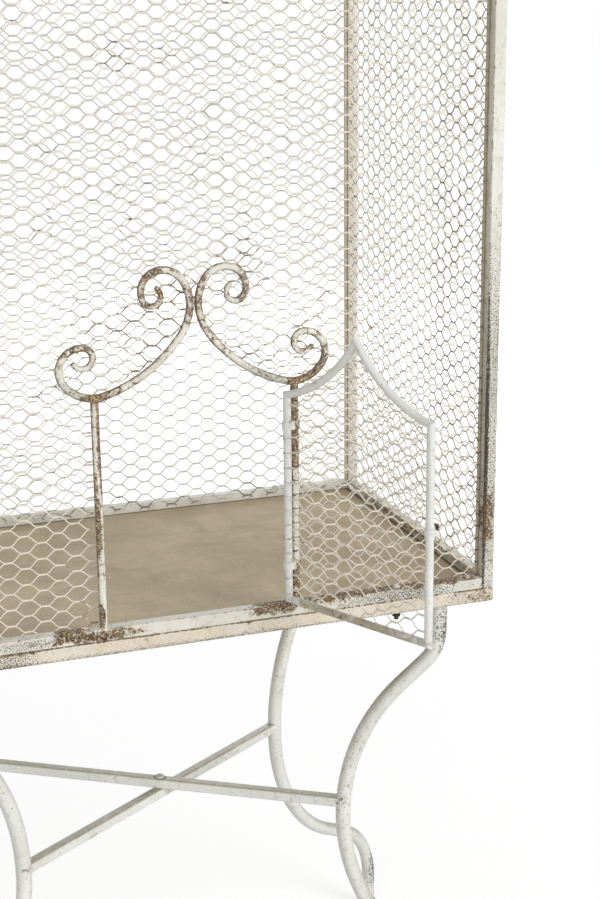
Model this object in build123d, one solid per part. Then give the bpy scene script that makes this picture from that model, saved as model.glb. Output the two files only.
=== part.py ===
from build123d import *
import os
from math import atan2, cos, degrees, hypot, radians, sin, sqrt, tan

# A bird cage on a stand. A welded cage of square tube is covered with hexagonal wire
# netting and stands on a bolted frame with four S-curved legs and crossed stretchers.
# An arched door swings on the front between two posts that carry a pair of scrolls.
# Millimetres, +X right, +Y back, +Z up. The door side faces -Y and the floor is z = 0.

# Cage frame
cage_width = 800.0
cage_depth = 500.0
post_height = 800.0
tube = 16.0
tube_wall = 1.5
tube_edge_radius = 1.5
post_cap = 2.0

# Stand top frame and floor board
stand_rail_height = 19.0
stand_rail_width = 40.0
stand_rail_wall = 1.5
stand_edge_radius = 2.5
floor_thickness = 4.0
floor_clearance = 0.5

# Legs, bent from round tube in upright planes through the middle of the stand
leg_diameter = 21.0
leg_wall = 1.5
leg_inset = 64.0
leg_setback = 30.0
leg_neck = 42.5
leg_shoulder_radius = 71.0
leg_shoulder_turn = 42.5
leg_slope_run = 48.0
leg_waist_upper_radius = 307.0
leg_waist_lower_radius = 268.0
leg_flare_turn = 61.5
leg_flare_run = 60.0
leg_ankle_radius = 134.0
leg_foot_run = 56.0
glide_wall = 2.0
glide_base = 4.0
glide_height = 14.0

# Crossed stretchers with the rivet at their crossing
stretcher_bar = 15.0
stretcher_edge_radius = 3.0
stretcher_lift = 13.5
rivet_diameter = 6.0
rivet_head_diameter = 15.0
rivet_head_height = 5.0

# Bolts that hold the cage down on the stand
bolt_inset = 136.0
bolt_diameter = 6.0
bolt_clearance = 0.2
bolt_head_diameter = 10.0
bolt_head_height = 3.0
bolt_end = 4.5
nut_across_flats = 10.0
nut_height = 5.0

# Door posts and the scrolls on top of them
door_post_spacing = 250.0
door_post_diameter = 10.0
scroll_rod = 9.6
scroll_end = 6.4
scroll_foot_taper = 120.0
scroll_top_taper = 150.0
scroll_height = 303.0
scroll_gap = 0.6
scroll_body_bends = [(37.0, 15.0), (176.0, 38.0), (71.0, 27.0), (49.0, 10.0)]
scroll_top_bends = [(53.0, 34.0), (29.0, 77.0), (25.0, 93.0), (11.5, 219.0)]
scroll_foot_bends = [(46.0, 52.0), (27.0, 133.0), (12.5, 243.0)]

# Door
door_bar = 10.0
door_width = 226.0
door_side_height = 266.0
door_arch_rise = 81.5
door_arch_radius = 186.0
door_floor_gap = 0.4
door_open_angle = 116.8
hinge_offset_x = 11.0
hinge_offset_y = 4.0
hinge_running_clearance = 0.08
strap_wall = 1.5
strap_height = 10.0
strap_levels = [40.0, 222.0]
strap_net_gap = 0.5

# Latch hook that swivels on the free side of the door
latch_level = 135.0
latch_wall = 1.6
latch_height = 8.0
latch_arm_width = 2.6
latch_clearance = 0.5
latch_tip_width = 2.4
latch_tip_sweep = 40.0
latch_rest_swing = 126.0
collar_height = 2.0
collar_wall = 1.0
collar_gap = 0.3

# Netting: flat hexagonal cells with their level sides along the twists
net_thickness = 2.6
net_strand = 3.0
net_row_pitch = 50.0
net_column_pitch = 51.0
net_twist = 24.0
door_net_strand = 1.8
door_net_row_pitch = 20.0
door_net_column_pitch = 20.5
door_net_twist = 9.6
door_net_side_gap = 3.4
least_gap_share = 0.12
least_gap_side = 0.6

# Hipped roof
roof_rise = 150.0
roof_rod = 9.0


def turned(vector, angle):
    """A plane vector turned left by an angle in degrees."""
    c = cos(radians(angle))
    s = sin(radians(angle))
    return (vector[0] * c - vector[1] * s, vector[0] * s + vector[1] * c)


def traced(start, heading, steps):
    """Straight runs (length,) and tangent bends (radius, turn) from a start in the XZ plane.

    Returns the list of (start, middle, end) points of each step, with no middle on a run.
    """
    point = start
    stations = []
    for step in steps:
        along = turned((1.0, 0.0), heading)
        if len(step) == 1:
            end = (point[0] + step[0] * along[0], point[1] + step[0] * along[1])
            stations.append((point, None, end))
        else:
            radius, turn = step
            side = 1.0 if turn > 0 else -1.0
            out = turned(along, -90.0 * side)
            centre = (point[0] - radius * out[0], point[1] - radius * out[1])
            half = turned(out, turn / 2)
            last = turned(out, turn)
            middle = (centre[0] + radius * half[0], centre[1] + radius * half[1])
            end = (centre[0] + radius * last[0], centre[1] + radius * last[1])
            stations.append((point, middle, end))
            heading += turn
        point = end
    return stations


def edges_of(stations):
    """Edges in the XZ plane through traced stations."""
    edges = []
    for first, middle, last in stations:
        a = (first[0], 0, first[1])
        b = (last[0], 0, last[1])
        if middle is None:
            edges.append(Line(a, b))
        else:
            edges.append(ThreePointArc(a, (middle[0], 0, middle[1]), b))
    return edges


def swept(section, edges):
    """A section swept along a smooth chain of edges."""
    path = Wire([edge.edge() for edge in edges])
    return sweep(Plane(path ^ 0) * section, path=path)


def tapered_rod(edges, thick, end, first_taper, last_taper):
    """A round rod along a smooth chain of edges that narrows towards both of its ends."""
    path = Wire([edge.edge() for edge in edges])
    marks = [(0.0, end), (first_taper, thick), (path.length / 2, thick),
             (path.length - last_taper, thick), (path.length, end)]
    sections = [Plane(path.location_at(at / path.length)) * Circle(size / 2) for at, size in marks]
    return sweep(sections, path=path, multisection=True)


def rod_between(first, last, diameter):
    """A straight round rod between two points."""
    a = Vector(*first)
    b = Vector(*last)
    return extrude(Plane(origin=a, z_dir=b - a) * Circle(diameter / 2), (b - a).length)


def clipped(polygon, point, normal):
    """The part of a convex polygon on the side of a line that its normal points to."""
    def side(p):
        return (p[0] - point[0]) * normal[0] + (p[1] - point[1]) * normal[1]

    kept = []
    for a, b in zip(polygon, polygon[1:] + polygon[:1]):
        da = side(a)
        db = side(b)
        if da >= 0:
            kept.append(a)
        if da * db < 0:
            t = da / (da - db)
            kept.append((a[0] + t * (b[0] - a[0]), a[1] + t * (b[1] - a[1])))
    return kept


def half_planes(polygon, inset):
    """Inward half-planes of a convex polygon that runs anticlockwise, moved in by an inset."""
    planes = []
    for a, b in zip(polygon, polygon[1:] + polygon[:1]):
        length = hypot(b[0] - a[0], b[1] - a[1])
        normal = ((a[1] - b[1]) / length, (b[0] - a[0]) / length)
        planes.append(((a[0] + inset * normal[0], a[1] + inset * normal[1]), normal))
    return planes


def area_of(polygon):
    """Area of a polygon that runs anticlockwise."""
    pairs = zip(polygon, polygon[1:] + polygon[:1])
    return sum(a[0] * b[1] - b[0] * a[1] for a, b in pairs) / 2


def without_short_sides(polygon):
    """A polygon without the corners that lie too close to the one before."""
    kept = []
    for p in polygon:
        if not kept or hypot(p[0] - kept[-1][0], p[1] - kept[-1][1]) > least_gap_side:
            kept.append(p)
    if len(kept) > 1 and hypot(kept[0][0] - kept[-1][0], kept[0][1] - kept[-1][1]) <= least_gap_side:
        kept.pop()
    return kept


def netting_gaps(box, bounds, rounds, pitches, strand):
    """Hexagonal gaps of a net.

    box is (low u, low v, high u, high v), bounds are half-planes that every gap keeps to and
    rounds are (centre, radius) circles that every gap keeps out of. pitches is (row, column, twist).
    """
    row, column, twist = pitches
    corner = column - twist / 2
    cell = [(corner, 0.0), (twist / 2, row / 2), (-twist / 2, row / 2),
            (-corner, 0.0), (-twist / 2, -row / 2), (twist / 2, -row / 2)]
    shrunk = cell
    for point, normal in half_planes(cell, strand / 2):
        shrunk = clipped(shrunk, point, normal)
    middle_u = (box[0] + box[2]) / 2
    middle_v = (box[1] + box[3]) / 2
    columns = int((box[2] - box[0]) / 2 / column) + 2
    rows = int((box[3] - box[1]) / 2 / row) + 2
    gaps = []
    for i in range(-columns, columns + 1):
        for j in range(-rows, rows + 1):
            u = middle_u + i * column
            v = middle_v + j * row + (i % 2) * row / 2
            gap = [(u + p[0], v + p[1]) for p in shrunk]
            for point, normal in bounds:
                gap = clipped(gap, point, normal)
            for centre, radius in rounds:
                reach = hypot(u - centre[0], v - centre[1])
                normal = ((u - centre[0]) / reach, (v - centre[1]) / reach)
                point = (centre[0] + radius * normal[0], centre[1] + radius * normal[1])
                gap = clipped(gap, point, normal)
            gap = without_short_sides(gap)
            if len(gap) > 2 and area_of(gap) > least_gap_share * area_of(shrunk):
                gaps.append(gap)
    return gaps


def holed_sheet(outline, gaps, thickness):
    """A flat sheet in the XZ plane, from y = 0 to its thickness, with polygon gaps through it."""
    holes = [Wire.make_polygon([(u, 0, v) for u, v in gap], close=True) for gap in gaps]
    face = Face(Wire([edge.edge() for edge in outline]), holes)
    return extrude(face, thickness, dir=(0, 1, 0))


def straight_sided_net(polygon, pitches=None):
    """A net whose outline is a convex polygon in the XZ plane, running anticlockwise."""
    cells = pitches or (net_row_pitch, net_column_pitch, net_twist)
    us = [p[0] for p in polygon]
    vs = [p[1] for p in polygon]
    box = (min(us), min(vs), max(us), max(vs))
    gaps = netting_gaps(box, half_planes(polygon, net_strand), [], cells, net_strand)
    outline = [Line((a[0], 0, a[1]), (b[0], 0, b[1]))
               for a, b in zip(polygon, polygon[1:] + polygon[:1])]
    return holed_sheet(outline, gaps, net_thickness)


def tube_section(width, height, wall, edge_radius):
    """Section of a rectangular tube with eased outer edges."""
    return RectangleRounded(width, height, edge_radius) - Rectangle(width - 2 * wall, height - 2 * wall)


def save(name, shape):
    """Write one node, moved so that the part's box stands centred on the origin."""
    export_step(Pos(0, part_shift_y, 0) * shape, f"parts/{name}.step")


def grouped(shapes):
    """Separate solids of one node."""
    return Compound([solid for shape in shapes for solid in shape.solids()])


def left_right():
    """The two sides of the cage with their signs along X."""
    return [("left", -1), ("right", 1)]


def corners():
    """The four corners of the cage with their signs along X and Y."""
    return [(f"{depth}_{side}", sx, sy) for depth, sy in (("front", -1), ("back", 1))
            for side, sx in left_right()]


os.makedirs("parts", exist_ok=True)

# Leg line: radius from the stand's middle, and height below the top of the leg
leg_top_x = cage_width / 2 - leg_inset
leg_top_y = cage_depth / 2 - leg_setback
leg_top_radius = hypot(leg_top_x, leg_top_y)
leg_bearing = degrees(atan2(leg_top_y, leg_top_x))
leg_steps = [(leg_neck,), (leg_shoulder_radius, -leg_shoulder_turn), (leg_slope_run,),
             (leg_waist_upper_radius, leg_shoulder_turn), (leg_waist_lower_radius, leg_flare_turn),
             (leg_flare_run,), (leg_ankle_radius, -leg_flare_turn), (leg_foot_run,)]
leg_line = traced((leg_top_radius, 0.0), -90.0, leg_steps)
leg_waist_radius, leg_waist_drop = leg_line[3][2]
leg_foot_radius, leg_foot_drop = leg_line[-1][2]

# Levels
leg_top_z = glide_base - leg_foot_drop
stand_top = leg_top_z + stand_rail_height
crossing_z = leg_top_z + leg_waist_drop + stretcher_lift
rail_top = stand_top + tube
post_top = stand_top + post_height
inner_x = cage_width / 2 - tube
inner_y = cage_depth / 2 - tube
front_y = -(cage_depth - tube) / 2

# Door hinge line, and the shift that centres the part's box with the door standing open
hinge_x = door_post_spacing / 2 - hinge_offset_x
hinge_y = front_y - hinge_offset_y
door_z = rail_top + door_floor_gap + door_bar / 2
door_turn = door_open_angle - 180.0
latch_ring_radius = door_bar / 2 + hinge_running_clearance + latch_wall
door_reach_y = hinge_y + door_width * sin(radians(door_turn)) - latch_ring_radius
foot_reach_y = leg_foot_radius * sin(radians(leg_bearing)) + leg_diameter / 2 + glide_wall
part_shift_y = -(door_reach_y + foot_reach_y) / 2

# Stand top frame, mitred at its corners
half_w = cage_width / 2
half_d = cage_depth / 2
rail_section = tube_section(stand_rail_width, stand_rail_height, stand_rail_wall, stand_edge_radius)
rail_mid_y = half_d - stand_rail_width / 2
rail_mid_z = stand_top - stand_rail_height / 2
for name, sy in (("front", -1), ("back", 1)):
    start = Plane(origin=(-half_w, sy * rail_mid_y, rail_mid_z), x_dir=(0, 1, 0), z_dir=(1, 0, 0))
    rail = extrude(start * rail_section, cage_width)
    wedge = Polygon((-half_w, sy * half_d), (half_w, sy * half_d),
                    (half_w - stand_rail_width, sy * (half_d - stand_rail_width)),
                    (-half_w + stand_rail_width, sy * (half_d - stand_rail_width)), align=None)
    rail &= Pos(0, 0, stand_top - stand_rail_height) * extrude(wedge, stand_rail_height, dir=(0, 0, 1))
    for sx in (-1, 1):
        hole = Cylinder(bolt_diameter / 2 + bolt_clearance, 2 * stand_rail_height)
        rail -= Pos(sx * (half_w - bolt_inset), sy * -front_y, rail_mid_z) * hole
    save(f"stand_rail_{name}", rail)
for name, sx in left_right():
    side_x = sx * (half_w - stand_rail_width / 2)
    start = Plane(origin=(side_x, -half_d, rail_mid_z), x_dir=(1, 0, 0), z_dir=(0, 1, 0))
    rail = extrude(start * rail_section, cage_depth)
    wedge = Polygon((sx * half_w, -half_d), (sx * half_w, half_d),
                    (sx * (half_w - stand_rail_width), half_d - stand_rail_width),
                    (sx * (half_w - stand_rail_width), -half_d + stand_rail_width), align=None)
    rail &= Pos(0, 0, stand_top - stand_rail_height) * extrude(wedge, stand_rail_height, dir=(0, 0, 1))
    save(f"stand_rail_{name}", rail)

# Legs and their glides
leg_section = Circle(leg_diameter / 2) - Circle(leg_diameter / 2 - leg_wall)
leg_shape = Pos(0, 0, leg_top_z) * swept(leg_section, edges_of(leg_line))
leg_core = Pos(0, 0, leg_top_z) * swept(Circle(leg_diameter / 2), edges_of(leg_line))
bottom = (Align.CENTER, Align.CENTER, Align.MIN)
glide = Cylinder(leg_diameter / 2 + glide_wall, glide_height, align=bottom)
glide -= Pos(0, 0, glide_base) * Cylinder(leg_diameter / 2, glide_height, align=bottom)
glide = Pos(leg_foot_radius, 0, 0) * glide
glides = []
legs = {}
for name, sx, sy in corners():
    bearing = degrees(atan2(sy * leg_top_y, sx * leg_top_x))
    legs[name] = Rot(0, 0, bearing) * leg_core
    save(f"leg_{name}", Rot(0, 0, bearing) * leg_shape)
    glides.append(Rot(0, 0, bearing) * glide)
save("leg_glides", grouped(glides))

# Crossed stretchers: the upper one lies on the lower one where they cross
stretcher_section = RectangleRounded(stretcher_bar, stretcher_bar, stretcher_edge_radius)
rivet_hole = Pos(0, 0, crossing_z) * Cylinder(rivet_diameter / 2, 4 * stretcher_bar)
for name, level, bearing, ends in (
        ("upper", crossing_z + stretcher_bar / 2, -leg_bearing, ("front_right", "back_left")),
        ("lower", crossing_z - stretcher_bar / 2, leg_bearing, ("back_right", "front_left"))):
    start = Plane(origin=(-leg_waist_radius, 0, level), x_dir=(0, 1, 0), z_dir=(1, 0, 0))
    bar = Rot(0, 0, bearing) * extrude(start * stretcher_section, 2 * leg_waist_radius)
    for end in ends:
        bar -= legs[end]
    middle_piece = max((bar - rivet_hole).solids(), key=lambda solid: solid.volume)
    save(f"stretcher_{name}", middle_piece)

# Rivet: a domed head on the upper bar, hammered flush under the lower bar
dome_radius = (rivet_head_diameter ** 2 / 4 + rivet_head_height ** 2) / (2 * rivet_head_height)
dome = Pos(0, 0, rivet_head_height - dome_radius) * Sphere(dome_radius)
dome &= Cylinder(rivet_head_diameter, 2 * rivet_head_height, align=bottom)
rivet = Pos(0, 0, crossing_z + stretcher_bar) * dome
rivet += Pos(0, 0, crossing_z) * Cylinder(rivet_diameter / 2, 2 * stretcher_bar)
save("stretcher_rivet", rivet)

# Clamp bolts through the cage's base rails and the stand rails, with nuts below
bolts = []
nuts = []
stand_bottom = stand_top - stand_rail_height
for name, sx, sy in corners():
    spot = Pos(sx * (half_w - bolt_inset), sy * -front_y, 0)
    shank_low = stand_bottom - nut_height - bolt_end
    bolt = Pos(0, 0, shank_low) * Cylinder(bolt_diameter / 2, rail_top - shank_low, align=bottom)
    bolt += Pos(0, 0, rail_top) * Cone(bolt_head_diameter / 2, bolt_diameter / 2, bolt_head_height, align=bottom)
    bolts.append(spot * bolt)
    flats = RegularPolygon(nut_across_flats / 2, 6, major_radius=False) - Circle(bolt_diameter / 2)
    nuts.append(spot * Pos(0, 0, stand_bottom - nut_height) * extrude(flats, nut_height))
save("clamp_bolts", grouped(bolts))
save("clamp_nuts", grouped(nuts))

# Cage frame: posts over the full height with the rails between them
frame_section = tube_section(tube, tube, tube_wall, tube_edge_radius)
for name, sx, sy in corners():
    post = extrude(RectangleRounded(tube, tube, tube_edge_radius), post_height)
    post -= extrude(Rectangle(tube - 2 * tube_wall, tube - 2 * tube_wall), post_height - post_cap)
    save(f"corner_post_{name}", Pos(sx * (half_w - tube / 2), sy * -front_y, stand_top) * post)
for level_name, low in (("base", stand_top), ("top", post_top - tube)):
    for name, sy in (("front", -1), ("back", 1)):
        start = Plane(origin=(-inner_x, sy * -front_y, low + tube / 2), x_dir=(0, 1, 0), z_dir=(1, 0, 0))
        rail = extrude(start * frame_section, 2 * inner_x)
        if level_name == "base":
            for sx in (-1, 1):
                hole = Cylinder(bolt_diameter / 2 + bolt_clearance, 2 * tube)
                rail -= Pos(sx * (half_w - bolt_inset), sy * -front_y, low + tube / 2) * hole
        save(f"{level_name}_rail_{name}", rail)
    for name, sx in left_right():
        side_x = sx * (half_w - tube / 2)
        start = Plane(origin=(side_x, -inner_y, low + tube / 2), x_dir=(1, 0, 0), z_dir=(0, 1, 0))
        save(f"{level_name}_rail_{name}", extrude(start * frame_section, 2 * inner_y))

# Floor board on the inner lip of the stand rails
floor = Box(2 * (inner_x - floor_clearance), 2 * (inner_y - floor_clearance), floor_thickness, align=bottom)
save("floor_board", Pos(0, 0, stand_top) * floor)

# Scrolls: one bent rod a side, set so that the pair almost touches in the middle
body_line = traced((0.0, 0.0), 180.0, [(radius, -turn) for radius, turn in scroll_body_bends])
scroll_x = scroll_rod / 2 + scroll_gap / 2 - body_line[-1][2][0]
scroll_z = stand_top + scroll_height
scroll_start = (scroll_x, scroll_z)
body_line = traced(scroll_start, 180.0, [(radius, -turn) for radius, turn in scroll_body_bends])
top_line = traced(body_line[-1][2], 90.0, [(radius, -turn) for radius, turn in scroll_top_bends])
foot_line = traced(scroll_start, 0.0, scroll_foot_bends)
foot_back = [(last, middle, first) for first, middle, last in reversed(foot_line)]
scroll_edges = edges_of(foot_back + body_line + top_line)
scroll = tapered_rod(scroll_edges, scroll_rod, scroll_end, scroll_foot_taper, scroll_top_taper)
scroll = Pos(0, front_y, 0) * scroll
scrolls = {"right": scroll, "left": mirror(scroll, Plane.YZ)}
for name, sx in left_right():
    save(f"scroll_{name}", scrolls[name])
    post = Cylinder(door_post_diameter / 2, scroll_z - rail_top, align=bottom)
    post = Pos(sx * door_post_spacing / 2, front_y, rail_top) * post - scrolls[name]
    save(f"door_post_{name}", max(post.solids(), key=lambda solid: solid.volume))

# Hinge straps round the right door post and the door's hinge bar
post_spot = (door_post_spacing / 2, front_y)
for name, level in zip(("lower", "upper"), strap_levels):
    bar_radius = door_bar / 2 + hinge_running_clearance
    inner_rings = Pos(*post_spot) * Circle(door_post_diameter / 2) + Pos(hinge_x, hinge_y) * Circle(bar_radius)
    outer_post = Pos(*post_spot) * Circle(door_post_diameter / 2 + strap_wall)
    outer_bar = Pos(hinge_x, hinge_y) * Circle(bar_radius + strap_wall)
    inside = make_hull(inner_rings.edges())
    outside = make_hull((outer_post + outer_bar).edges())
    save(f"hinge_strap_{name}", Pos(0, 0, door_z + level) * extrude(outside - inside, strap_height))

# Netting of the front, split where the doorway and its arch cut it
net_low = rail_top
net_high = post_top - tube
half_door = door_post_spacing / 2 + door_post_diameter / 2 + strap_wall + strap_net_gap
net_front = Pos(0, -inner_y - net_thickness, 0)
side_panel = [(half_door, net_low), (inner_x, net_low), (inner_x, net_high), (half_door, net_high)]
right_side = straight_sided_net(side_panel)
save("front_net_right", net_front * right_side)
save("front_net_left", net_front * mirror(right_side, Plane.YZ))
arch_points = [(half_door, scroll_z)]
for first, middle, last in body_line[:-1]:
    arch_points += [first, middle]
arch_high = body_line[-1][0]
arch_lean = radians(scroll_body_bends[-1][1])
arch_points += [arch_high, (0.0, arch_high[1] + arch_high[0] / tan(arch_lean))]
over_door = [(half_door, net_high), (0.0, net_high)] + list(reversed(arch_points))
over_bounds = half_planes(over_door, net_strand)
over_box = (0.0, scroll_z, half_door, net_high)
over_gaps = netting_gaps(over_box, over_bounds, [], (net_row_pitch, net_column_pitch, net_twist), net_strand)
over_outline = [Line((a[0], 0, a[1]), (b[0], 0, b[1]))
                for a, b in zip(over_door, over_door[1:] + over_door[:1])]
over_right = holed_sheet(over_outline, over_gaps, net_thickness)
save("front_net_over_right", net_front * over_right)
save("front_net_over_left", net_front * mirror(over_right, Plane.YZ))

# Netting of the back and the two sides
back_panel = [(-inner_x, net_low), (inner_x, net_low), (inner_x, net_high), (-inner_x, net_high)]
save("back_net", Pos(0, inner_y, 0) * straight_sided_net(back_panel))
end_panel = [(-inner_y, net_low), (inner_y, net_low), (inner_y, net_high), (-inner_y, net_high)]
end_net = Rot(0, 0, -90) * straight_sided_net(end_panel)
save("right_net", Pos(inner_x, 0, 0) * end_net)
save("left_net", Pos(-inner_x - net_thickness, 0, 0) * end_net)

# Roof rods: hips from the corner posts to the ends of a ridge
eave_x = half_w - tube / 2
eave_y = -front_y
ridge_half = eave_x - eave_y
ridge_z = post_top + roof_rise
ridge = rod_between((-ridge_half, 0, ridge_z), (ridge_half, 0, ridge_z), roof_rod)
save("ridge_rod", ridge)
above = Pos(0, 0, post_top) * Box(2 * cage_width, 2 * cage_depth, 4 * roof_rise, align=bottom)
for name, sx, sy in corners():
    along = Vector(-sx * eave_y, -sy * eave_y, roof_rise)
    foot = Vector(sx * eave_x, sy * eave_y, post_top)
    lead = along.normalized() * (2 * roof_rod)
    hip = rod_between(tuple(foot - lead), tuple(foot + along + lead), roof_rod) & above
    hip -= Pos(0, sy * -cage_depth, 0) * Box(2 * cage_width, 2 * cage_depth, 8 * ridge_z)
    hip -= ridge
    save(f"hip_rod_{name}", max(hip.solids(), key=lambda solid: solid.volume))

# Roof netting: each panel is made upright and laid on its slope
rod_radius = roof_rod / 2
slope = degrees(atan2(roof_rise, eave_y))
slope_length = hypot(roof_rise, eave_y)
seat = net_thickness / 2 / tan(radians(slope))
hip_lean = atan2(slope_length, eave_y)
hip_run = rod_radius / sin(hip_lean)
top_v = slope_length - rod_radius


def roof_panel(half_eave, half_ridge):
    """A roof net between the eave, two hips and the ridge, laid on its slope at the front."""
    def half_width(v):
        return half_eave - (half_eave - half_ridge) * v / slope_length - hip_run

    widths = [(half_width(seat), seat), (half_width(top_v), top_v)]
    peak = (half_eave - hip_run) / (half_eave - half_ridge) * slope_length
    if half_ridge > 0:
        polygon = [(-widths[0][0], seat), widths[0], widths[1], (-widths[1][0], top_v)]
    else:
        polygon = [(-widths[0][0], seat), widths[0], (0.0, peak)]
    sheet = Pos(0, -net_thickness / 2, 0) * straight_sided_net(polygon)
    return Rot(slope - 90, 0, 0) * sheet


long_panel = roof_panel(eave_x, ridge_half)
save("roof_net_front", Pos(0, -eave_y, post_top) * long_panel)
save("roof_net_back", Pos(0, eave_y, post_top) * Rot(0, 0, 180) * long_panel)
short_panel = roof_panel(eave_y, 0.0)
save("roof_net_right", Pos(eave_x, 0, post_top) * Rot(0, 0, 90) * short_panel)
save("roof_net_left", Pos(-eave_x, 0, post_top) * Rot(0, 0, -90) * short_panel)

# Door, drawn with its hinge line at the origin and its width along +X, then swung open
door_place = Pos(hinge_x, hinge_y, door_z) * Rot(0, 0, door_turn)
shoulder = (0.0, door_side_height)
apex = (door_width / 2, door_side_height + door_arch_rise)
chord = hypot(apex[0] - shoulder[0], apex[1] - shoulder[1])
chord_lean = atan2(apex[1] - shoulder[1], apex[0] - shoulder[0])
to_centre = sqrt(door_arch_radius ** 2 - chord ** 2 / 4)
arch_centre = ((shoulder[0] + apex[0]) / 2 - to_centre * sin(chord_lean),
               (shoulder[1] + apex[1]) / 2 + to_centre * cos(chord_lean))
arch_first = degrees(atan2(shoulder[1] - arch_centre[1], shoulder[0] - arch_centre[0]))
arch_last = degrees(atan2(apex[1] - arch_centre[1], apex[0] - arch_centre[0]))
arch_lead = degrees(door_bar / door_arch_radius)


def on_arch(angle, radius=door_arch_radius):
    """A point at an angle on the arch circle of the hinge side."""
    return (arch_centre[0] + radius * cos(radians(angle)), arch_centre[1] + radius * sin(radians(angle)))


def mitred(bar, corner, own, other):
    """A bar cut at a corner on the line halfway between its own and the other bar's direction."""
    normal = (own[0] - other[0], 0, own[1] - other[1])
    cut = Plane(origin=(corner[0], 0, corner[1]), z_dir=normal)
    return split(bar, bisect_by=cut, keep=Keep.TOP)


up = (0.0, 1.0)
down = (0.0, -1.0)
across = (1.0, 0.0)
arch_out = (-sin(radians(arch_first)), cos(radians(arch_first)))
hinge_bar = rod_between((0, 0, -door_bar), (0, 0, door_side_height + door_bar), door_bar)
hinge_bar = mitred(mitred(hinge_bar, (0.0, 0.0), up, across), shoulder, down, arch_out)
bottom_bar = rod_between((-door_bar, 0, 0), (door_width + door_bar, 0, 0), door_bar)
bottom_bar = mitred(bottom_bar, (0.0, 0.0), across, up)
bottom_bar = mitred(bottom_bar, (door_width, 0.0), (-1.0, 0.0), up)
arch_stations = [(on_arch(arch_first - arch_lead), on_arch((arch_first + arch_last) / 2),
                  on_arch(arch_last + arch_lead))]
arch_bar = mitred(swept(Circle(door_bar / 2), edges_of(arch_stations)), shoulder, arch_out, down)
arch_bar = split(arch_bar, bisect_by=Plane(origin=(apex[0], 0, 0), z_dir=(-1, 0, 0)), keep=Keep.TOP)
door_middle = Plane(origin=(door_width / 2, 0, 0), z_dir=(1, 0, 0))
save("door_hinge_bar", door_place * hinge_bar)
save("door_free_bar", door_place * mirror(hinge_bar, door_middle))
save("door_bottom_bar", door_place * bottom_bar)
save("door_arch_hinge_side", door_place * arch_bar)
save("door_arch_free_side", door_place * mirror(arch_bar, door_middle))

# Door netting inside the bars, clear of the straps and the latch along the upright bars
net_side = door_bar / 2 + door_net_side_gap
arch_clear = door_arch_radius + door_bar / 2


def arch_edge(u):
    """Point on the lower edge of the arch bar at a distance from the hinge line."""
    return (u, arch_centre[1] - sqrt(arch_clear ** 2 - (u - arch_centre[0]) ** 2))


def flipped(point):
    """A point of the door's plane mirrored about the door's middle."""
    return (door_width - point[0], point[1])


arch_rim = [arch_edge(net_side), arch_edge((net_side + door_width / 2) / 2), arch_edge(door_width / 2)]
door_low = door_bar / 2
door_sides = [((net_side + door_net_strand, 0.0), (1.0, 0.0)),
              ((door_width - net_side - door_net_strand, 0.0), (-1.0, 0.0)),
              ((0.0, door_low + door_net_strand), (0.0, 1.0))]
gap_radius = arch_clear + door_net_strand
door_rounds = [(arch_centre, gap_radius), (flipped(arch_centre), gap_radius)]
door_box = (0.0, 0.0, door_width, apex[1])
door_pitches = (door_net_row_pitch, door_net_column_pitch, door_net_twist)
door_gaps = netting_gaps(door_box, door_sides, door_rounds, door_pitches, door_net_strand)


def flat(point):
    """A door-plane point in space."""
    return (point[0], 0, point[1])


low_left = (net_side, door_low)
low_right = flipped(low_left)
door_outline = [Line(flat(low_left), flat(low_right)),
                Line(flat(low_right), flat(flipped(arch_rim[0]))),
                ThreePointArc(*[flat(flipped(p)) for p in arch_rim]),
                ThreePointArc(*[flat(p) for p in reversed(arch_rim)]),
                Line(flat(arch_rim[0]), flat(low_left))]
door_net = Pos(0, -net_thickness / 2, 0) * holed_sheet(door_outline, door_gaps, net_thickness)
save("door_net", door_place * door_net)

# Latch hook: a ring on the free bar, an arm, and a tip that closes behind the left post
free_x = hinge_x - door_width
post_from_bar = (-door_post_spacing / 2 - free_x, front_y - hinge_y)
post_distance = hypot(*post_from_bar)
post_bearing = degrees(atan2(post_from_bar[1], post_from_bar[0]))
ring_inner = door_bar / 2 + hinge_running_clearance
ring_outer = latch_ring_radius
tip_inner = post_distance + door_post_diameter / 2 + latch_clearance
tip_outer = tip_inner + latch_tip_width
arm_side = door_post_diameter / 2 + latch_arm_width / 2 + latch_clearance
arm_bearing = post_bearing + degrees(atan2(arm_side, sqrt(post_distance ** 2 - arm_side ** 2)))
arm = Pos((ring_outer + tip_outer) / 2 - latch_wall / 4, 0) * Rectangle(tip_outer - ring_outer + latch_wall / 2,
                                                                      latch_arm_width)
tip_sector = Polygon((0, 0), (2 * tip_outer, 0), turned((2 * tip_outer, 0.0), -latch_tip_sweep), align=None)
tip = (Circle(tip_outer) - Circle(tip_inner)) & tip_sector
hook_sketch = Circle(ring_outer) + arm + tip - Circle(ring_inner)
hook = extrude(hook_sketch, latch_height)
hook_swing = arm_bearing + latch_rest_swing + door_open_angle
free_spot = door_place * Pos(door_width, 0, latch_level)
free_upright = Pos(free_spot.position.X, free_spot.position.Y, free_spot.position.Z)
save("latch_hook", free_upright * Rot(0, 0, hook_swing) * hook)

# Collars on the free bar that keep the latch hook at its level
collars = []
for low in (-collar_gap - collar_height, latch_height + collar_gap):
    collar = Cylinder(door_bar / 2 + collar_wall, collar_height, align=bottom)
    collar -= Cylinder(door_bar / 2, collar_height, align=bottom)
    collars.append(free_upright * Pos(0, 0, low) * collar)
save("latch_collars", grouped(collars))

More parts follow.
